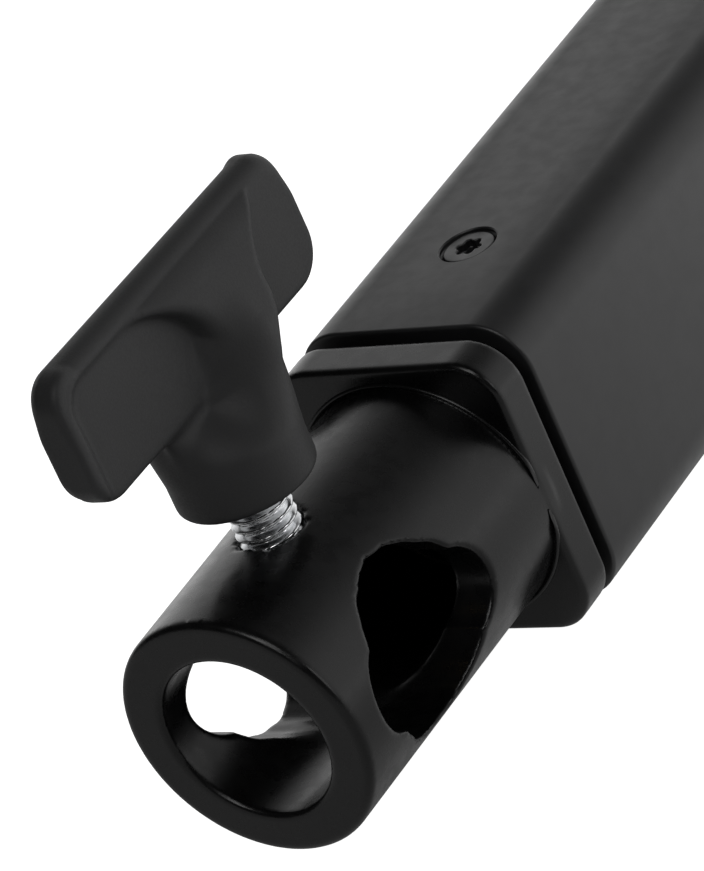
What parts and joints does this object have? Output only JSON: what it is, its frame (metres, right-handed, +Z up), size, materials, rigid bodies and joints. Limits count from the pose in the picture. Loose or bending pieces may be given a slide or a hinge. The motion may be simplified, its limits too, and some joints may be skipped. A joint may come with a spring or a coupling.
{
  "type": "telescoping grip extension arm",
  "caption": "Short black telescoping extension arm with a cross-drilled stud socket and T-handle clamp at one end and a grooved spigot at the other.",
  "frame": {"origin": "centre of the socket's mouth, on the socket's axis", "axes": "+Y along the arm from the socket to the spigot, +Z up towards the T-handles, +X to the right when facing along +Y"},
  "size_m": [0.025, 0.2758, 0.0634],
  "materials": {
    "cast_paint": "satin black powder coat on cast aluminium",
    "tube_paint": "fine satin black powder coat",
    "inner_tube_paint": "smooth satin black anodising with faint sliding marks",
    "grip_plastic": "matte moulded glass-filled nylon",
    "black_nylon": "plain moulded nylon",
    "black_screw": "black oxide steel",
    "zinc_steel": "bright zinc plate",
    "spigot_steel": "turned and nickel plated steel",
    "brass": "turned brass"
  },
  "bodies": {
    "outer_arm": {"socket_fitting": "cast_paint", "arm_tube": "tube_paint", "socket_screw_top": "black_screw", "socket_screw_bottom": "black_screw", "guide_collar": "black_nylon", "lock_block": "cast_paint", "block_screw_front": "black_screw", "block_screw_rear": "black_screw"},
    "inner_arm": {"inner_tube": "inner_tube_paint", "slider_plug": "black_nylon", "slider_screw_top": "black_screw", "slider_screw_bottom": "black_screw", "spigot_fitting": "cast_paint", "spigot_screw_top": "black_screw", "spigot_screw_bottom": "black_screw", "spigot": "spigot_steel", "spigot_washer": "zinc_steel", "spigot_bolt": "zinc_steel"},
    "clamp_foot": {"clamp_foot": "brass"},
    "clamp_handle": {"clamp_stud": "zinc_steel", "clamp_grip": "grip_plastic"},
    "lock_foot": {"lock_foot": "brass"},
    "lock_handle": {"lock_stud": "zinc_steel", "lock_grip": "grip_plastic"}
  },
  "joints": [
    {"name": "arm_extend", "type": "slide", "parent": "outer_arm", "child": "inner_arm", "axis": [0, 1, 0], "range_m": [0, 0.09]},
    {"name": "clamp_travel", "type": "slide", "parent": "outer_arm", "child": "clamp_foot", "axis": [0, 0, 1], "range_m": [-0.004, 0.001]},
    {"name": "clamp_turn", "type": "hinge", "parent": "clamp_foot", "child": "clamp_handle", "pos_m": [0, 0.014, 0.017], "axis": [0, 0, 1], "range_deg": [-1440, 360]},
    {"name": "lock_travel", "type": "slide", "parent": "outer_arm", "child": "lock_foot", "axis": [0, 0, 1], "range_m": [-0.00025, 0.002]},
    {"name": "lock_turn", "type": "hinge", "parent": "lock_foot", "child": "lock_handle", "pos_m": [0, 0.1872, 0.0256], "axis": [0, 0, 1], "range_deg": [-90, 720]}
  ],
  "couplings": [
    {"joint": "clamp_travel", "follows": "clamp_turn", "m_per_rad": 0.00015915},
    {"joint": "lock_travel", "follows": "lock_turn", "m_per_rad": 0.00015915}
  ]
}
